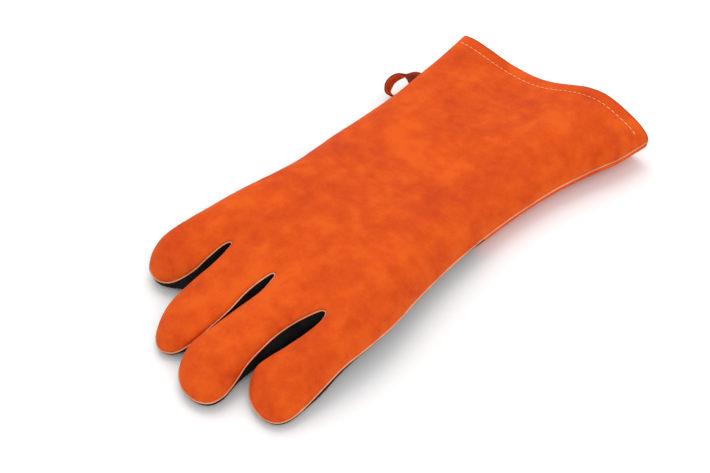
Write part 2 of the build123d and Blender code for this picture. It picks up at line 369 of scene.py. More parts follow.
# Inner face of the loop: the strap's back side, darkened with painted shade of the loop's hollow.
STRAP_INSIDE_AND_SHADE = Leather("strap_inside", (82, 22, 8), (112, 30, 10), (140, 42, 16), slot="strap_inside")
THREAD = Cloth("stitch_thread", (240, 140, 80), (250, 168, 108), 4000.0, 0.00005, "hem_leather")
CANVAS = Cloth("canvas_lining", (150, 138, 112), (196, 186, 160), 700.0, 0.0003, "canvas")
FLEECE = Cloth("fleece_lining", (170, 160, 140), (214, 206, 188), 1500.0, 0.0005, "fleece")
FINISHES = (ORANGE, BLACK, WELT, HEM_PAINTED_SHADE, STRAP, STRAP_INSIDE_AND_SHADE, THREAD, CANVAS, FLEECE)


# ---------------------------------------------------------------------------------------------------------------
# Meshes
# ---------------------------------------------------------------------------------------------------------------


@dataclass
class Skin:
    """Points, faces and point normals of a sheet, in millimetres, before it is divided between bodies."""

    points: np.ndarray
    faces: list[tuple[int, ...]]
    lightening: np.ndarray

    def mesh(self, name: str) -> bpy.types.Mesh:
        """Blender mesh of the whole skin, in metres."""
        mesh = bpy.data.meshes.new(name)
        mesh.from_pydata([tuple(p) for p in self.points * MM], [], self.faces)
        mesh.update()
        return mesh

    def normals(self) -> np.ndarray:
        """Smooth normals at the points of the whole skin."""
        mesh = self.mesh("measure")
        values = np.empty(len(mesh.vertices) * 3)
        mesh.vertices.foreach_get("normal", values)
        bpy.data.meshes.remove(mesh)
        return values.reshape(-1, 3)

    def joined(self, other: Skin) -> Skin:
        """This skin and another in one."""
        step = len(self.points)
        faces = self.faces + [tuple(i + step for i in face) for face in other.faces]
        return Skin(np.vstack((self.points, other.points)), faces, np.concatenate((self.lightening, other.lightening)))

    def part(self, chosen: np.ndarray, name: str) -> bpy.types.Object:
        """Object made of some of the faces, shaded as the whole.

        Args:
            chosen: True for each face that belongs to the piece.
            name: The object's name.

        Returns:
            The object, linked to the scene.
        """
        normals = self.normals()
        faces = [face for face, wanted in zip(self.faces, chosen) if wanted]
        used = sorted({i for face in faces for i in face})
        renumber = {old: new for new, old in enumerate(used)}
        mesh = bpy.data.meshes.new(name)
        mesh.from_pydata(
            [tuple(p) for p in self.points[used] * MM], [], [tuple(renumber[i] for i in face) for face in faces]
        )
        mesh.shade_smooth()
        layer = mesh.attributes.new("lightening", "FLOAT", "POINT")
        layer.data.foreach_set("value", self.lightening[used].astype(np.float32))
        mesh.update()
        mesh.normals_split_custom_set_from_vertices([tuple(n) for n in normals[used]])
        piece = bpy.data.objects.new(name, mesh)
        bpy.context.scene.collection.objects.link(piece)
        return piece

    def centres(self) -> np.ndarray:
        """Middle of each face."""
        return np.array([self.points[list(face)].mean(axis=0) for face in self.faces])


def crown(share: np.ndarray) -> np.ndarray:
    """Quarter circle from 0 at the seam to 1 where the sheet lies flat."""
    part = np.clip(share, 0, 1)
    return np.sqrt(np.clip(1 - (1 - part) ** 2, 0, 1))


def ease(low: float, high: float, value: np.ndarray) -> np.ndarray:
    """Smooth step from 0 at low to 1 at high."""
    part = np.clip((value - low) / (high - low), 0, 1)
    return part * part * (3 - 2 * part)


def lumps(points: np.ndarray, size: float, seed: float) -> np.ndarray:
    """Even noise between about -1 and 1 at each plan point.

    Args:
        points: Plan points, in millimetres.
        size: Width of a lump.
        seed: Which pattern is taken.

    Returns:
        One value for each point.
    """
    return np.array([noise.noise(Vector((x / size, y / size, seed))) for x, y in points])


def smooth_line(knots: np.ndarray, step: float) -> np.ndarray:
    """Even points along a centripetal curve through the knots.

    Args:
        knots: Rows whose first two columns are the place; the others are carried along.
        step: Distance between the points.

    Returns:
        The points, with every column of the knots.
    """
    ends = [2 * knots[0] - knots[1], *knots, 2 * knots[-1] - knots[-2]]
    dense = []
    for a, b, c, d in zip(ends, ends[1:], ends[2:], ends[3:]):
        gaps = [max(math.dist(p[:2], q[:2]), 1e-6) ** 0.5 for p, q in ((a, b), (b, c), (c, d))]
        t0, t1 = 0.0, gaps[0]
        t2 = t1 + gaps[1]
        t3 = t2 + gaps[2]
        for t in np.linspace(t1, t2, 24, endpoint=False):
            a1 = (t1 - t) / (t1 - t0) * a + (t - t0) / (t1 - t0) * b
            a2 = (t2 - t) / (t2 - t1) * b + (t - t1) / (t2 - t1) * c
            a3 = (t3 - t) / (t3 - t2) * c + (t - t2) / (t3 - t2) * d
            b1 = (t2 - t) / (t2 - t0) * a1 + (t - t0) / (t2 - t0) * a2
            b2 = (t3 - t) / (t3 - t1) * a2 + (t - t1) / (t3 - t1) * a3
            dense.append((t2 - t) / (t2 - t1) * b1 + (t - t1) / (t2 - t1) * b2)
    dense.append(knots[-1])
    line = np.array(dense)
    along = np.concatenate(([0], np.cumsum(np.linalg.norm(np.diff(line[:, :2], axis=0), axis=1))))
    places = np.linspace(0, along[-1], max(2, round(along[-1] / step)) + 1)
    return np.column_stack([np.interp(places, along, line[:, i]) for i in range(line.shape[1])])


class SeamLine:
    """The seam round a flat leather shape, seen from above, with its height and how far the leather rounds."""

    def __init__(self, knots: list[tuple[float, float, float, float]], step: float, closed: bool) -> None:
        """Draws the line.

        Args:
            knots: Place, height and rounding distance, the leather on the right of the line's direction.
            step: Distance between points.
            closed: Whether the line comes back to its start.
        """
        rows = np.array(knots, float)
        if closed:
            wrapped = np.vstack((rows[-3:], rows, rows[:4]))
            line = smooth_line(wrapped, step)
            first = np.argmin(np.linalg.norm(line[: len(line) // 2, :2] - rows[0, :2], axis=1))
            last = len(line) // 2 + np.argmin(np.linalg.norm(line[len(line) // 2 :, :2] - rows[0, :2], axis=1))
            rows = line[first:last]
        else:
            rows = smooth_line(rows, step)
        self.closed = closed
        self.place = rows[:, :2]
        self.height = rows[:, 2]
        self.rounding = rows[:, 3]
        if closed:
            tangent = np.roll(self.place, -1, axis=0) - np.roll(self.place, 1, axis=0)
        else:
            tangent = np.gradient(self.place, axis=0)
        tangent /= np.linalg.norm(tangent, axis=1)[:, None]
        self.tangent = tangent
        self.inward = np.column_stack((tangent[:, 1], -tangent[:, 0]))
        self.along = np.concatenate(([0], np.cumsum(np.linalg.norm(np.diff(self.place, axis=0), axis=1))))

    def slit_room(self) -> np.ndarray:
        """How far the leather below the seam may swell into the slit beside each seam point."""
        swell = np.zeros(len(self.place))
        for i, spot in enumerate(self.place):
            away = self.place - spot
            gap = np.linalg.norm(away, axis=1)
            facing = (away @ -self.inward[i] > 0.55 * gap) & (np.abs(self.along - self.along[i]) > 16)
            if facing.any():
                room = gap[facing].min()
                swell[i] = 0.42 * room * (1 - float(ease(12, 19, np.array(room))))
        swell *= ease(-160, -144, self.place[:, 1])
        kernel = np.ones(9) / 9
        return np.convolve(np.pad(swell, 4, mode="edge"), kernel, mode="valid")

    def swelling(self, points: np.ndarray) -> np.ndarray:
        """Plan shift of a full swell beside each plan point, into the slit it faces."""
        room = self.slit_room()
        shift = []
        for start in range(0, len(points), 1200):
            gap = np.linalg.norm(points[start : start + 1200, None] - self.place[None], axis=2)
            nearest = gap.argmin(axis=1)
            shift.append(-self.inward[nearest] * room[nearest, None])
        return np.vstack(shift)

    def extended(self, reach: float) -> tuple[np.ndarray, np.ndarray, np.ndarray]:
        """The line carried straight on past both ends, for measuring distances near them."""
        if self.closed:
            return self.place, self.height, self.rounding
        steps = np.arange(1, reach)[:, None]
        before = self.place[0] - steps * self.tangent[0]
        after = self.place[-1] + steps * self.tangent[-1]
        place = np.vstack((before[::-1], self.place, after))
        spread = [np.concatenate((np.full(len(steps), v[0]), v, np.full(len(steps), v[-1])))
                  for v in (self.height, self.rounding)]
        return place, spread[0], spread[1]

    def near(self, points: np.ndarray) -> tuple[np.ndarray, np.ndarray, np.ndarray]:
        """Distance to the seam and the seam's height and rounding beside each point.

        Args:
            points: Plan points.

        Returns:
            Distance, height and rounding.
        """
        place, height, rounding = self.extended(60)
        found = []
        for start in range(0, len(points), 1200):
            gap = np.linalg.norm(points[start : start + 1200, None] - place[None], axis=2)
            least = gap.min(axis=1)
            weight = np.exp(-(gap - least[:, None]) / 2.5)
            weight /= weight.sum(axis=1)[:, None]
            found.append(np.column_stack((least, weight @ height, weight @ rounding)))
        table = np.vstack(found)
        return table[:, 0], table[:, 1], table[:, 2]


@dataclass
class SheetMaker:
    """Lays triangles over a seam line's inside and lifts them to the leather's shape."""

    line: SeamLine
    shape: object
    rings: tuple[float, ...] = (0.25, 0.9, 2.0, 3.5)
    grid: float = 2.3
    tuck: tuple[tuple[float, float], ...] = ((0.35, 0.45), (1.5, 0.12))
    lip: float = 0.95
    rows_near_edge: tuple[float, ...] = (1.2, 2.6, 4.2, 5.8, 7.0, 7.8, 8.5, 9.2, 10.0, 11.2, 13.0, 15.0)

    def sheet(self, side: Side, inset: float = 0.0) -> Skin:
        """Makes one sheet, taken in by inset all round.

        Args:
            side: The back or the palm side.
            inset: How deep below the leather's surface the sheet lies.

        Returns:
            The sheet's skin.
        """
        line = self.line
        edge = line.place + line.inward * inset
        mouth = np.empty((0, 2))
        if not line.closed:
            first, last = edge[0], edge[-1]
            steps = [0.4, 1.0, 2.0, 3.5]
            left, right = min(first[0], last[0]), max(first[0], last[0])
            inner = np.arange(left + 5.5, right - 5.5, self.grid)
            across = np.concatenate(([left + s for s in steps], inner, [right - s for s in reversed(steps)]))
            mouth = np.column_stack((across, np.full(len(across), first[1])))
            if np.linalg.norm(mouth[0] - last) > np.linalg.norm(mouth[-1] - last):
                mouth = mouth[::-1]
        loop = np.vstack((edge, mouth))
        count = len(loop)
        plan = [loop]
        top = edge[0][1]
        for ring in self.rings:
            band = edge + line.inward * ring
            if not line.closed:
                band = band[band[:, 1] < top - 0.9]
            plan.append(band[:: 1 if ring < 1.5 else 2])
        low, high = loop.min(axis=0), loop.max(axis=0)
        rows = np.arange(high[1] - (17.2 if not line.closed else 1.0), low[1], -self.grid * 0.87)
        if not line.closed:
            rows = np.concatenate((top - np.array(self.rows_near_edge), rows))
        grid = []
        for number, y in enumerate(rows):
            shift = self.grid / 2 * (number % 2)
            for x in np.arange(low[0] + shift, high[0], self.grid):
                grid.append((x, y))
        grid = np.array(grid)
        gap = line.near(grid)[0]
        grid = grid[gap > inset + max(self.rings) + 0.9]
        if not line.closed:
            grid = grid[grid[:, 1] < top - 1.0]
        plan.append(grid)
        flat = np.vstack(plan)
        edges = [(i, (i + 1) % count) for i in range(count)]
        where, _, faces, origin, _, _ = delaunay_2d_cdt([Vector(p) for p in flat], edges, [], 1, 1e-4)
        points = np.array([tuple(v) for v in where])
        sources = [min(o) if o else -1 for o in origin]
        gap, seam, rounding = line.near(points)
        on_edge = np.array([0 <= s < len(edge) for s in sources])
        gap = np.where(on_edge, inset, gap)
        seam_index = {s: i for i, s in enumerate(sources) if 0 <= s < len(edge)}
        sign = side.value
        seam = seam + sign * (self.lip if inset == 0 else 0.4)
        share = crown((gap - inset) / np.maximum(rounding * self.shape.roundness(side) - inset, 1))
        flat_z = self.shape.flat(side, points) - sign * inset
        z = seam + (flat_z - seam) * share
        if inset == 0:
            z = z + sign * self.shape.relief(side, points, gap) * share
        skin = np.column_stack((points, z))
        if inset == 0 and side is Side.PALM and not line.closed:
            skin[:, :2] += line.swelling(points) * np.sin(math.pi * np.clip(share, 0, 1) ** 1.3)[:, None]
        triangles = [tuple(f) if sign > 0 else tuple(reversed(f)) for f in faces]
        middle = skin[list(triangles[0])]
        turn = np.cross(middle[1] - middle[0], middle[2] - middle[0])[2]
        if turn * sign < 0:
            triangles = [tuple(reversed(f)) for f in triangles]
        # Colour lightened toward the bright shade within a few millimetres of the seam, and on the leather tucked
        # into it.
        lightening = np.exp(-np.clip(gap, 0, None) / 2.2) * 0.8
        if inset == 0:
            order = sorted(seam_index)
            last_row = [seam_index[i] for i in order]
            for depth, lift in self.tuck:
                start = len(skin)
                ring = np.column_stack((
                    line.place[order] + line.inward[order] * depth,
                    line.height[order] + sign * lift,
                ))
                skin = np.vstack((skin, ring))
                lightening = np.concatenate((lightening, np.full(len(ring), 0.6)))
                row = list(range(start, start + len(ring)))
                pairs = list(zip(range(len(row)), range(1, len(row))))
                if line.closed:
                    pairs.append((len(row) - 1, 0))
                for a, b in pairs:
                    quad = (last_row[a], row[a], row[b], last_row[b])
                    triangles.append(quad if sign < 0 else tuple(reversed(quad)))
                last_row = row
        return Skin(skin, triangles, lightening)


# Cross-section of a welt: outward from the seam and up. Its inner edge is hidden between the leathers.
WELT_PROFILE = [(-1.6, -0.36), (0.1, -0.42), (0.5, -0.32), (0.72, 0.0), (0.5, 0.32), (0.1, 0.42), (-1.6, 0.36)]


@dataclass
class Strip:
    """A ribbon or cord of one cross-section, swept along a path."""

    path: np.ndarray
    across: np.ndarray
    upward: np.ndarray
    profile: list[tuple[float, float]]
    closed: bool = False

    def skin(self, lightening: float = 0.0) -> Skin:
        """Skin of the swept strip, with ends capped where it is open."""
        count = len(self.profile)
        points = [p + a * u + n * v for p, a, n in zip(self.path, self.across, self.upward) for u, v in self.profile]
        steps = len(self.path)
        faces = []
        for i in range(steps if self.closed else steps - 1):
            j = (i + 1) % steps
            for k in range(count):
                m = (k + 1) % count
                faces.append((i * count + k, i * count + m, j * count + m, j * count + k))
        if not self.closed:
            faces.append(tuple(range(count)))
            faces.append(tuple(reversed(range((steps - 1) * count, steps * count))))
        return Skin(np.array(points), faces, np.full(len(points), lightening))


# ---------------------------------------------------------------------------------------------------------------
# The glove's shape
# ---------------------------------------------------------------------------------------------------------------


@dataclass
class GloveShape:
    """How high the flat leather of the cuff, hand and fingers lies."""

    middle_x: float
    edge_y: float
    palm_lift: float = 15.6
    crown_rows: tuple[tuple[float, float], ...] = (
        (250, 38), (190, 37.5), (150, 36.5), (110, 35.2), (75, 34), (45, 34.5), (15, 39), (-15, 42.6),
        (-45, 43.2), (-70, 40.6), (-84, 38.2), (-92, 36.9), (-140, 36.9),
    )
    mouth_rows: tuple[tuple[float, float], ...] = (
        (-90, 32), (-72, 31), (-50, 26.5), (-28, 23.5), (-8, 24), (10, 30), (30, 37.5), (48, 40.6), (66, 37.5),
        (90, 34),
    )
    low_rows: tuple[tuple[float, float], ...] = ((250, 0), (42, 0), (30, 5.5), (15, 15.6), (-300, 15.6))
    crotch: dict[str, float] = field(default_factory=lambda: {"index": 95, "middle": 93, "ring": 91, "little": 89})
    length: dict[str, float] = field(default_factory=lambda: {"index": 71, "middle": 92, "ring": 79, "little": 41})
    tip_height: dict[str, float] = field(
        default_factory=lambda: {"index": 15.5, "middle": 15.5, "ring": 15.5, "little": 18.0}
    )

    def finger(self, points: np.ndarray) -> np.ndarray:
        """Which finger each plan point lies in line with, 0 for the index finger."""
        x, y = points[:, 0] - self.middle_x, points[:, 1]
        first = np.interp(-y, (95, 118, 150, 175), (41.2, 36, 28.6, 28.8))
        second = np.interp(-y, (92, 130, 144, 158), (-4.0, -7.5, -10.7, -16))
        third = np.interp(-y, (88, 115, 140), (-45.2, -48.7, -52))
        return (x < first).astype(int) + (x < second) + (x < third)

    def rows(self, table: tuple[tuple[float, float], ...], where: np.ndarray) -> np.ndarray:
        """Smoothed reading of a table of heights along one direction."""
        places = np.array([row[0] for row in table], float)
        values = np.array([row[1] for row in table], float)
        if places[0] > places[-1]:
            places, values = places[::-1], values[::-1]
        spread = np.zeros_like(where, float)
        offsets = np.linspace(-9, 9, 7)
        for offset in offsets:
            spread += np.interp(where + offset, places, values)
        return spread / len(offsets)

    def flat(self, side: Side, points: np.ndarray) -> np.ndarray:
        """Height of the leather away from its seams.

        Args:
            side: The back or the palm side.
            points: Plan points.

        Returns:
            One height for each point.
        """
        x, y = points[:, 0] - self.middle_x, points[:, 1]
        which = self.finger(points)
        crotch = np.array([self.crotch[f] for f in FINGERS])[which]
        length = np.array([self.length[f] for f in FINGERS])[which]
        tip = np.array([self.tip_height[f] for f in FINGERS])[which]
        along = np.clip((-y - crotch) / length, 0, 1.05)
        if side is Side.BACK:
            base = self.rows(self.crown_rows, y)
            mouth = self.rows(self.mouth_rows, x)
            share = ease(70, 190, y)
            base = base * (1 - share) + mouth * share
            return base - (36.9 - tip) * (0.55 * along + 0.45 * along**2)
        base = self.rows(self.low_rows, y)
        return np.maximum(base * (1 - ease(-0.15, 0.62, along)), 0.35)

    def roundness(self, side: Side) -> float:
        """Share of the seam line's rounding distance that a side uses."""
        return 1.0 if side is Side.BACK else 0.7

    def relief(self, side: Side, points: np.ndarray, gap: np.ndarray) -> np.ndarray:
        """Soft unevenness of the leather: slack, puckers at the seams and the pull of the hem's stitches.

        Args:
            side: The back or the palm side.
            points: Plan points.
            gap: Distance to the seam.

        Returns:
            How far each point stands out.
        """
        y = points[:, 1]
        slack = 1.0 * lumps(points, 46, 3.1) + 0.55 * lumps(points, 21, 8.7) + 0.22 * lumps(points, 9, 1.9)
        if side is Side.PALM:
            slack *= 0.35
        pucker = 0.35 * lumps(points, 4.5, 5.3) * np.exp(-gap / 4.5)
        from_edge = self.edge_y - y
        pull = -0.75 * np.exp(-(((from_edge - 8.5) / 1.0) ** 2)) + 0.45 * (1 - ease(6.5, 9.0, from_edge))
        return slack + pucker + pull


# The glove's seam seen from above, from the cuff's thumb side round the fingertips to its little finger side:
# x from the wrist's middle, y, height of the seam, and how far in the back's leather takes to round over.
KNOTS = [
    (86, 189.7, 18, 46), (81.5, 162, 17, 43), (75, 142, 16, 40), (67, 110, 15, 36), (62.5, 75, 14.5, 33),
    (61.4, 50, 15, 32), (61.8, 20, 16, 30), (63.6, -7, 17, 28), (67.4, -38, 18.6, 26), (72.2, -67, 20, 24),
    (73.2, -92, 20.0, 20), (71.8, -113.1, 18.0, 17), (71.6, -132.4, 13.4, 15.5), (70.6, -146.6, 8.6, 15),
    (69.2, -157.4, 6.6, 13), (65.3, -163.8, 5.6, 12), (58.1, -166.6, 5.2, 12), (49.0, -165.5, 5.4, 12),
    (40.6, -161.8, 6.2, 12), (33.6, -154.7, 8.0, 13), (31.0, -147.0, 11.3, 14), (33.0, -139.0, 15.2, 15),
    (37.8, -129.7, 21.6, 15.5), (42.2, -117.9, 26.4, 15.5), (44.4, -106.2, 30.0, 15), (44.2, -99.6, 31.8, 14),
    (42.6, -96.6, 32.6, 14), (40.0, -96.6, 32.6, 14), (38.0, -99.2, 32.2, 14), (34.7, -105.2, 30.5, 15),
    (30.9, -114.3, 27.9, 16), (27.7, -125.8, 24.3, 16.5), (26.0, -138.8, 19.6, 16.5), (25.9, -150.2, 15.7, 16),
    (27.7, -163.0, 10.8, 15), (28.4, -173.1, 8.4, 13), (25.3, -180.8, 7.1, 12), (17.4, -184.7, 6.4, 12),
    (6.8, -184.0, 6.4, 12), (-2.4, -179.3, 7.1, 12), (-9.6, -170.7, 8.5, 13), (-12.9, -159.1, 11.9, 15),
    (-9.2, -144.3, 17.4, 16), (-5.2, -127.8, 23.8, 16.5), (-1.2, -110.5, 29.5, 16), (-1.4, -99, 32.4, 15),
    (-2.8, -94.2, 33.2, 14), (-5.2, -94.2, 33.2, 14), (-6.8, -98.6, 32.4, 15), (-9.0, -112.6, 29.0, 16),
    (-9.8, -130.6, 22.7, 16), (-12.0, -144.3, 17.4, 15.5), (-15.4, -157.6, 11.0, 14), (-21.4, -166.0, 5.8, 12),
    (-29.2, -169.6, 5.0, 12), (-37.0, -166.4, 5.6, 12), (-42.6, -158.8, 9.0, 13.5), (-46.0, -147.4, 14.2, 15),
    (-45.0, -128.1, 21.1, 15.5), (-42.4, -109.7, 28.0, 15.5), (-42.5, -97, 31.6, 14.5), (-43.8, -91.6, 32.4, 14),
    (-46.2, -91.2, 32.4, 14), (-48.2, -95.8, 31.6, 14), (-50.9, -106.9, 26.8, 14.5), (-53.9, -115.6, 20.6, 14.5),
    (-59.8, -123.0, 13.8, 13), (-66.1, -128.6, 9.8, 11.5), (-74.0, -131.0, 8.4, 11.5), (-82.6, -129.0, 8.4, 11.5),
    (-89.6, -122.6, 10.0, 12), (-91.8, -112.4, 14.0, 13.5), (-89.6, -102, 19.0, 15), (-86.2, -91, 22.5, 17),
    (-83.2, -78, 24.5, 20), (-80.6, -60, 25.5, 24), (-77.4, -38, 25, 26), (-75, -20, 24, 28),
    (-74.5, -2, 22.5, 29), (-76, 15, 21, 30), (-78, 40, 19.5, 32), (-78, 75, 19, 36), (-77.5, 105, 20, 38),
    (-78.5, 130, 22, 36), (-79.4, 160, 25, 32), (-81.2, 189.7, 28, 28),
]


@dataclass
class MainGlove:
    """Cuff, hand and fingers: leather, welt, lining, hem and stitches.

    Lengths are in millimetres, but wrist_height and knuckle_height, where the folds' axes lie, are in metres; nothing
    reads them.
    """

    middle_x: float
    edge_y: float
    crease_y: float
    finger_cut: float = -98.5
    bend_end: float = -119.6
    palm_seam: float = 36.0
    lining_depth: float = 3.6
    hem_depth: float = 12.0
    wrist_reach: float = 27.0
    wrist_height: float = 0.017
    knuckle_height: float = 0.026
    stitch_row: float = 8.5
    joint_row: float = 3.0
    side_margins: tuple[float, float] = (2.5, 16.0)
    flat_height: float = 4.0
    stitch_pitch: float = 4.2
    stitch_length: float = 3.5
    line: SeamLine = field(init=False)
    shape: GloveShape = field(init=False)
    maker: SheetMaker = field(init=False)

    def __post_init__(self) -> None:
        """Draws the seam line and readies the sheet maker."""
        knots = [(x + self.middle_x, y, z, r) for x, y, z, r in KNOTS]
        self.line = SeamLine(knots, 1.1, closed=False)
        self.shape = GloveShape(self.middle_x, self.edge_y)
        self.maker = SheetMaker(self.line, self.shape)

    def bodies(self, centres: np.ndarray) -> np.ndarray:
        """Number of the region of each face: 0 for hand and cuff, 1 to 4 for the fingers."""
        which = self.shape.finger(centres[:, :2]) + 1
        return np.where(centres[:, 1] < self.finger_cut, which, 0)

    def place(self, piece: bpy.types.Object, region: int) -> None:
        """Bakes a piece's placement into its mesh, alike for every region."""
        if region == 0:
            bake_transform(piece)
            return
        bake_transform(piece)

    def divide(self, skin: Skin, label: str, nodes: dict[int, tuple[str, ...]], finish: object,
               materials: dict[str, bpy.types.Material], keep: np.ndarray | None = None) -> None:
        """Cuts a skin into its pieces and dresses them.

        Args:
            skin: The whole skin.
            label: What the pieces are called after their region.
            nodes: Plain solids that each region's piece stands for.
            finish: The leather or cloth.
            materials: The finished materials, by name.
            keep: Faces that are wanted, or all of them.
        """
        region = self.bodies(skin.centres())
        for number in sorted(set(region)):
            chosen = region == number
            if keep is not None:
                chosen = chosen & keep
            if not chosen.any():
                continue
            name = f"{'main' if number == 0 else FINGERS[number - 1]}_{label}"
            piece = skin.part(chosen, name)
            piece.data.materials.append(materials[finish.name])
            if nodes.get(number):
                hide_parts(*nodes[number])
            self.place(piece, int(number))
            log.info("%s: %d faces", name, len(piece.data.polygons))

    def build(self, materials: dict[str, bpy.types.Material]) -> None:
        """Makes every piece of the cuff, hand and fingers."""
        back = self.maker.sheet(Side.BACK)
        nodes = {0: ("hand_back", "cuff_back"), **{i + 1: (f"{f}_back",) for i, f in enumerate(FINGERS)}}
        self.divide(back, "back_leather", nodes, ORANGE, materials)
        front = self.maker.sheet(Side.PALM)
        black = front.centres()[:, 1] < self.palm_seam
        nodes = {0: ("palm",), **{i + 1: (f"{f}_palm",) for i, f in enumerate(FINGERS)}}
        self.divide(front, "palm_leather", nodes, BLACK, materials, black)
        self.divide(front, "cuff_front_panel", {0: ("cuff_front",)}, ORANGE, materials, ~black)
        self.build_welt(materials)
        self.build_lining(materials)
        self.build_hem(back, front, materials)

    def build_welt(self, materials: dict[str, bpy.types.Material]) -> None:
        """The pale strip caught in the seam, standing a little out of it, uneven like cut leather."""
        line = self.line
        path = np.column_stack((line.place, line.height))
        outward = np.column_stack((-line.inward, np.zeros(len(path))))
        wave = np.array([noise.noise(Vector((s / 6.0, 2.2, 0.4))) for s in line.along])
        upward = np.tile((0.0, 0.0, 1.0), (len(path), 1))
        scale = 1 + 0.16 * wave
        strip = Strip(path, outward * scale[:, None], upward, WELT_PROFILE)
        nodes = {0: ("hand_welt", "cuff_welt_little_side", "cuff_welt_thumb_side"),
                 **{i + 1: (f"{f}_welt",) for i, f in enumerate(FINGERS)}}
        self.divide(strip.skin(), "welt", nodes, WELT, materials)

    def build_lining(self, materials: dict[str, bpy.types.Material]) -> None:
        """Fleece in the hand and fingers, canvas in the cuff."""
        maker = SheetMaker(self.line, self.shape, rings=(0.8, 2.6), grid=4.2)
        lining = maker.sheet(Side.BACK, self.lining_depth).joined(maker.sheet(Side.PALM, self.lining_depth))
        lining.faces = [tuple(reversed(face)) for face in lining.faces]
        cuff = lining.centres()[:, 1] > self.crease_y - 10
        mouth = lining.centres()[:, 1] < self.edge_y - 6
        nodes = {0: ("hand_lining",), **{i + 1: (f"{f}_lining",) for i, f in enumerate(FINGERS)}}
        self.divide(lining, "fleece_lining", nodes, FLEECE, materials, ~cuff)
        self.divide(lining, "canvas_lining", {0: ("cuff_lining",)}, CANVAS, materials, cuff & mouth)

    def build_hem(self, back: Skin, front: Skin, materials: dict[str, bpy.types.Material]) -> None:
        """The leather turned in at the cuff's edge, with its row of stitches. Its dark brown colour is painted shade
        along the cuff's edge.
        """
        rows = []
        for skin, order in ((back, 1), (front, -1)):
            row = skin.points[(np.abs(skin.points[:, 1] - self.edge_y) < 0.02)]
            row = row[np.argsort(row[:, 0])]
            inside = (row[:, 0] >= self.line.place[-1, 0] - 0.01) & (row[:, 0] <= self.line.place[0, 0] + 0.01)
            rows.append(row[inside][::order])
        loop = np.vstack(rows)
        keep = [0]
        for i in range(1, len(loop)):
            if np.linalg.norm(loop[i] - loop[keep[-1]]) > 0.5:
                keep.append(i)
        loop = loop[keep]
        ahead = np.roll(loop, -1, axis=0) - np.roll(loop, 1, axis=0)
        inward = np.column_stack((ahead[:, 2], np.zeros(len(loop)), -ahead[:, 0]))
        inward /= np.maximum(np.linalg.norm(inward, axis=1), 1e-9)[:, None]
        for _ in range(4):
            inward = inward + np.roll(inward, 1, axis=0) + np.roll(inward, -1, axis=0)
            inward /= np.linalg.norm(inward, axis=1)[:, None]
        out = np.tile((0.0, 1.0, 0.0), (len(loop), 1))
        profile = [
            (0.0, -0.3), (0.0, 0.0), (0.22, 0.75), (0.8, 1.3), (1.6, 1.55), (2.4, 1.3), (2.98, 0.75), (3.2, 0.0),
            (3.25, -4.0), (3.3, -8.0), (3.4, -self.hem_depth), (3.0, -self.hem_depth), (2.4, -6.0), (1.2, -0.6),
        ]
        hem = Strip(loop, inward, out, profile, closed=True).skin(0.3)
        piece = hem.part(np.full(len(hem.faces), True), "cuff_turned_hem")
        # Dark brown hem leather: painted shade of the cuff's edge.
        piece.data.materials.append(materials[HEM_PAINTED_SHADE.name])
        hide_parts("cuff_hem")
        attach(piece, Body.CUFF.value)
        log.info("hem: %d faces", len(piece.data.polygons))
        self.build_stitches(back, front, materials)

    def build_stitches(self, back: Skin, front: Skin, materials: dict[str, bpy.types.Material]) -> None:
        """Single stitches along the hem and along the joint of palm and front panel."""
        found: Skin | None = None
        rows = ((back, 1, self.edge_y - self.stitch_row), (front, -1, self.edge_y - self.stitch_row),
                (front, -1, self.palm_seam + self.joint_row))
        for skin, sign, y in rows:
            points = skin.points[sorted({i for face in skin.faces for i in face})]
            near = points[np.abs(points[:, 1] - y) < 1.3]
            near = near[np.argsort(near[:, 0])]
            margin = self.side_margins[0 if sign > 0 else 1]
            across = np.arange(near[0, 0] + margin, near[-1, 0] - margin, 0.5)
            height = np.interp(across, near[:, 0], near[:, 2])
            height = np.convolve(np.pad(height, 3, mode="edge"), np.ones(7) / 7, mode="valid")
            path = np.column_stack((across, np.full(len(across), y), height))
            along = np.concatenate(([0], np.cumsum(np.linalg.norm(np.diff(path, axis=0), axis=1))))
            for start in np.arange(0.6, along[-1] - self.stitch_length, self.stitch_pitch):
                spots = start + np.linspace(0, self.stitch_length, 6)
                places = np.column_stack([np.interp(spots, along, path[:, i]) for i in range(3)])
                if sign < 0 and places[:, 2].max() > self.flat_height:
                    continue
                direction = places[-1] - places[0]
                direction /= np.linalg.norm(direction)
                up = np.array((-direction[2], 0.0, direction[0])) * sign
                rise = np.sin(np.linspace(0, math.pi, 6)) * 0.35 + 0.05
                places = places + up * rise[:, None]
                wide = np.sin(np.linspace(0.35, math.pi - 0.35, 6))
                profile = [(0.42 * math.cos(a), 0.34 * math.sin(a)) for a in np.arange(0, 2 * math.pi, math.pi / 4)]
                strip = Strip(places, np.tile((0.0, 1.0, 0.0), (6, 1)) * wide[:, None],
                              np.tile(up, (6, 1)) * wide[:, None], profile).skin()
                found = strip if found is None else found.joined(strip)
        piece = found.part(np.full(len(found.faces), True), "hem_stitches")
        piece.data.materials.append(materials[THREAD.name])
        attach(piece, Body.CUFF.value)
        log.info("stitches: %d faces", len(piece.data.polygons))


@dataclass
class ThumbShape:
    """How high the thumb's flat leather lies."""

    height: float = 14.6

    def flat(self, side: Side, points: np.ndarray) -> np.ndarray:
        """Height of the leather away from its seam."""
        return np.full(len(points), self.height if side is Side.BACK else 0.35)

    def roundness(self, side: Side) -> float:
        """Share of the seam line's rounding distance that a side uses."""
        return 1.0

    def relief(self, side: Side, points: np.ndarray, gap: np.ndarray) -> np.ndarray:
        """Soft unevenness, inwards only, since the thumb lies close under the palm."""
        return -0.35 - 0.35 * lumps(points, 17, 4.4)


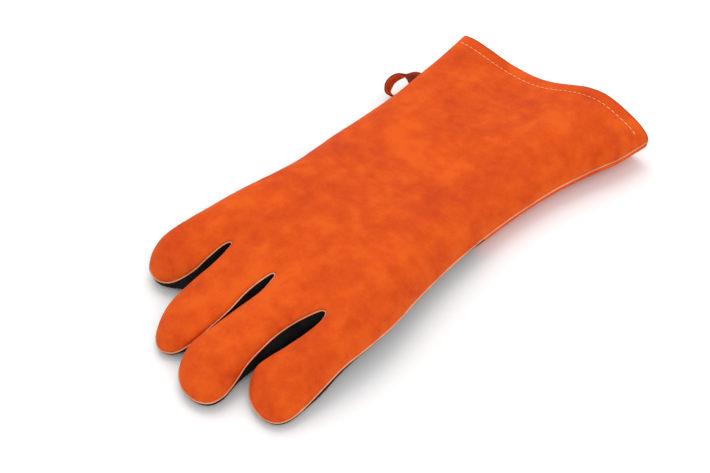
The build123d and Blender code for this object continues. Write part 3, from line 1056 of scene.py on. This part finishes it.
@dataclass
class Thumb:
    """The thumb, a flat tube of black leather that lies under the palm."""

    root_x: float
    root_y: float
    lean: float = math.radians(-5)
    root_width: float = 36.0
    tip_width: float = 30.0
    length: float = 78.0
    seam: float = 7.4

    def line(self) -> SeamLine:
        """The seam round the thumb."""
        knots = []
        for i in range(9):
            angle = math.pi * i / 8
            knots.append((self.root_width / 2 * math.cos(angle), self.root_width / 2 * math.sin(angle)))
        knots.append((-0.49 * self.root_width, -self.length * 0.33))
        tip = self.tip_width / 2
        for i in range(9):
            angle = math.pi + math.pi * i / 8
            knots.append((tip * math.cos(angle), -self.length + tip + tip * math.sin(angle)))
        knots.append((0.49 * self.root_width, -self.length * 0.33))
        turn = Euler((0, 0, self.lean)).to_matrix()
        placed = []
        for x, y in reversed(knots):
            spot = turn @ Vector((x, y, 0))
            placed.append((spot.x + self.root_x, spot.y + self.root_y, self.seam, 11.0))
        return SeamLine(placed, 1.2, closed=True)

    def build(self, materials: dict[str, bpy.types.Material]) -> None:
        """Makes both halves, the welt and the lining."""
        line = self.line()
        shape = ThumbShape()
        maker = SheetMaker(line, shape)
        inner = SheetMaker(line, shape, rings=(0.8, 2.6), grid=4.2)
        upper, lower = maker.sheet(Side.BACK), maker.sheet(Side.PALM)
        lining = inner.sheet(Side.BACK, 3.6).joined(inner.sheet(Side.PALM, 3.6))
        path = np.column_stack((line.place, line.height))
        outward = np.column_stack((-line.inward, np.zeros(len(path))))
        welt = Strip(path, outward, np.tile((0.0, 0.0, 1.0), (len(path), 1)), WELT_PROFILE, closed=True).skin()
        for skin, name, node, finish in (
            (upper, "thumb_upper_leather", "thumb_front", BLACK), (lower, "thumb_under_leather", "thumb_back", BLACK),
            (lining, "thumb_fleece", "thumb_lining", FLEECE), (welt, "thumb_seam_welt", "thumb_welt", WELT),
        ):
            piece = skin.part(np.full(len(skin.faces), True), name)
            piece.data.materials.append(materials[finish.name])
            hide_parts(node)
            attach(piece, Body.THUMB.value)
            log.info("%s: %d faces", name, len(piece.data.polygons))


@dataclass
class HangingLoop:
    """A folded strap that stands out of the little finger side seam of the cuff."""

    seam_x: float
    seam_y: float
    seam_z: float
    width: float = 18.0
    thickness: float = 1.6
    twisted: tuple[float, float, float] = (-0.25, 0.66, -0.70)
    route: tuple[tuple[float, float, float], ...] = (
        (3, 0, 1.0), (0, 0, 1.4), (-6, -0.5, 4.6), (-12, -3, 5.6), (-17, -7, 3.2), (-20, -11, -2.4),
        (-18.5, -13.5, -8.0), (-12.5, -11.5, -10.6), (-6, -6, -8.0), (0, 0, -1.4), (3, 0, -1.0),
    )

    def centre_line(self) -> np.ndarray:
        """Path of the strap's middle, out on top and back underneath."""
        knots = np.array([(x, z, y, 0.0) for x, y, z in self.route])
        line = smooth_line(knots, 1.2)
        return np.column_stack((line[:, 0] + self.seam_x, line[:, 2] + self.seam_y, line[:, 1] + self.seam_z))

    def build(self, materials: dict[str, bpy.types.Material]) -> None:
        """Makes the strap, flat at the seam and twisted further out."""
        path = self.centre_line()
        tangent = np.gradient(path, axis=0)
        tangent /= np.linalg.norm(tangent, axis=1)[:, None]
        share = ease(0, 18, self.seam_x - path[:, 0])[:, None]
        across = (1 - share) * np.array((0.0, 1.0, 0.0)) + share * np.array(self.twisted)
        across = across - tangent * (across * tangent).sum(axis=1)[:, None]
        across /= np.linalg.norm(across, axis=1)[:, None]
        upward = np.cross(across, tangent)
        half, thick = self.width / 2, self.thickness / 2
        profile = [
            (-half, -thick * 0.5), (-half + 0.5, -thick), (0.0, -thick), (half - 0.5, -thick), (half, -thick * 0.5),
            (half, thick * 0.5), (half - 0.5, thick), (0.0, thick), (-half + 0.5, thick), (-half, thick * 0.5),
        ]
        skin = Strip(path, across, upward, profile).skin(0.3)
        piece = skin.part(np.full(len(skin.faces), True), "hanging_strap")
        piece.data.materials.append(materials[STRAP.name])
        piece.data.materials.append(materials[STRAP_INSIDE_AND_SHADE.name])
        centre = Vector(path.mean(axis=0) * MM)
        # Faces turned toward the loop's middle take the darker leather: the strap's back side with painted shade of
        # the hollow.
        for face in piece.data.polygons:
            face.material_index = int(face.normal.dot(centre - face.center) > 0.3 * (centre - face.center).length)
        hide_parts("hanging_loop")
        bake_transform(piece)
        log.info("strap: %d faces", len(piece.data.polygons))


# ---------------------------------------------------------------------------------------------------------------
# Stage
# ---------------------------------------------------------------------------------------------------------------


@dataclass
class Studio:
    """Pale floor, soft light and the camera."""

    aim: tuple[float, float, float] = (0.01955, -0.0238, 0.020)
    distance: float = 1.007
    azimuth: float = math.radians(41.8)
    elevation: float = math.radians(42.6)
    roll: float = math.radians(0.3)
    view_angle: float = math.radians(26.0)

    def build(self) -> None:
        """Makes the floor, the lights and the camera, with colours shown as they are."""
        bpy.context.scene.view_settings.view_transform = "Standard"
        self.floor()
        self.lights()
        self.camera()

    def floor(self) -> None:
        """A wide plain pale surface."""
        mesh = bpy.data.meshes.new("floor")
        reach = 6.0
        mesh.from_pydata([(-reach, -reach, 0), (reach, -reach, 0), (reach, reach, 0), (-reach, reach, 0)], [],
                         [(0, 1, 2, 3)])
        floor = bpy.data.objects.new("floor", mesh)
        bpy.context.scene.collection.objects.link(floor)
        material = bpy.data.materials.new("pale_paper")
        material.use_nodes = True
        shader = material.node_tree.nodes["Principled BSDF"]
        shader.inputs["Base Color"].default_value = (0.93, 0.93, 0.93, 1)
        shader.inputs["Roughness"].default_value = 0.9
        shader.inputs["Specular IOR Level"].default_value = 0.1
        mesh.materials.append(material)

    def lights(self) -> None:
        """An even sky and two large soft lamps."""
        world = bpy.data.worlds.new("studio")
        bpy.context.scene.world = world
        world.use_nodes = True
        sky = world.node_tree.nodes["Background"]
        sky.inputs["Color"].default_value = (1, 1, 1, 1)
        sky.inputs["Strength"].default_value = 0.8
        for name, place, size, power in (
            ("key", (-0.7, 0.6, 1.6), 1.6, 15.0),
            ("fill", (1.3, -1.2, 1.3), 1.8, 13.0),
        ):
            lamp = bpy.data.lights.new(name, "AREA")
            lamp.size = size
            lamp.energy = power
            holder = bpy.data.objects.new(name, lamp)
            holder.location = place
            holder.rotation_euler = (Vector(self.aim) - Vector(place)).to_track_quat("-Z", "Y").to_euler()
            bpy.context.scene.collection.objects.link(holder)

    def camera(self) -> None:
        """Camera looking down over the fingertips and the thumb side."""
        lens = bpy.data.cameras.new("camera")
        lens.sensor_fit = "HORIZONTAL"
        lens.angle = self.view_angle
        camera = bpy.data.objects.new("camera", lens)
        back = Vector((
            math.sin(self.azimuth) * math.cos(self.elevation),
            -math.cos(self.azimuth) * math.cos(self.elevation),
            math.sin(self.elevation),
        ))
        camera.location = Vector(self.aim) + back * self.distance
        turn = back.to_track_quat("Z", "Y").to_matrix() @ Euler((0, 0, self.roll)).to_matrix()
        camera.rotation_euler = turn.to_euler()
        bpy.context.scene.collection.objects.link(camera)
        bpy.context.scene.camera = camera


# Where the thumb and the strap's root lie on the sewn glove, from their joints and the wrist's, in millimetres
THUMB_INSET = 4
STRAP_OUT = 76.5
STRAP_BACK = 8
STRAP_HEIGHT = 16.0


def main(frame: dict) -> None:
    """Builds the glove on its fixed frame.

    Args:
        frame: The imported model's bodies, nodes, joints and record.
    """
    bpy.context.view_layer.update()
    groups = {"mottle": mottle_group(), "nap": nap_group(), "weave": weave_group()}
    materials = {finish.name: finish.material(groups) for finish in FINISHES}
    joints = {joint["name"]: joint for joint in frame["record"]["behaviour"]["joints"]}
    wrist = Vector(joints["wrist_bend"]["pos_m"]) / MM
    thumb = Vector(joints["thumb_swing"]["pos_m"]) / MM
    strap = Vector(joints["loop_swing"]["pos_m"]) / MM
    MainGlove(wrist.x, KNOTS[0][1], wrist.y).build(materials)
    Thumb(thumb.x - THUMB_INSET, thumb.y).build(materials)
    HangingLoop(wrist.x - STRAP_OUT, strap.y - STRAP_BACK, STRAP_HEIGHT).build(materials)
    Studio().build()
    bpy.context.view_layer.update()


if __name__ == "__main__":
    logging.basicConfig(level=logging.INFO, format="%(message)s")
    main(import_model())
